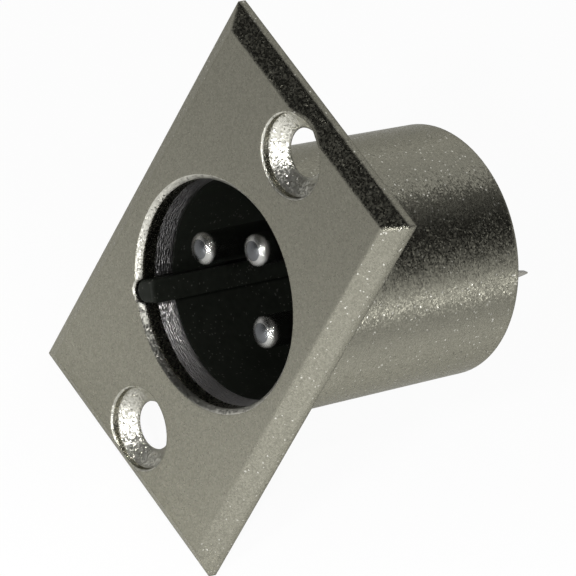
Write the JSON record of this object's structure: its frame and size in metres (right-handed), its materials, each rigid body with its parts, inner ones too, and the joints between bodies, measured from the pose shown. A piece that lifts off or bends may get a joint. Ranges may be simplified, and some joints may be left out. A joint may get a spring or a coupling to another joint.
{
  "type": "xlr panel socket",
  "caption": "Male XLR-type panel socket: bevelled rectangular flange with countersunk fixing holes, keyed round mouth with contact pins, and a plain barrel behind.",
  "frame": {"origin": "on the socket's axis, in the flange's rear face where the panel is, midway between the fixing holes", "axes": "+X across the flange, +Y along the axis towards the solder side (the mouth faces -Y), +Z along the flange's long side"},
  "size_m": [0.022, 0.0231, 0.036],
  "materials": {
    "satin_nickel": "satin nickel plate on a zinc casting",
    "black_moulding": "matt moulding",
    "silver_plate": "silver plate on turned brass",
    "tinned_strip": "tinned spring strip",
    "screw_steel": "plated steel"
  },
  "bodies": {
    "root": {"shell": "satin_nickel", "insulator": "black_moulding", "contact_1": "silver_plate", "contact_2": "silver_plate", "contact_3": "silver_plate", "earth_contact": "tinned_strip", "retaining_screw": "screw_steel"}
  },
  "joints": []
}
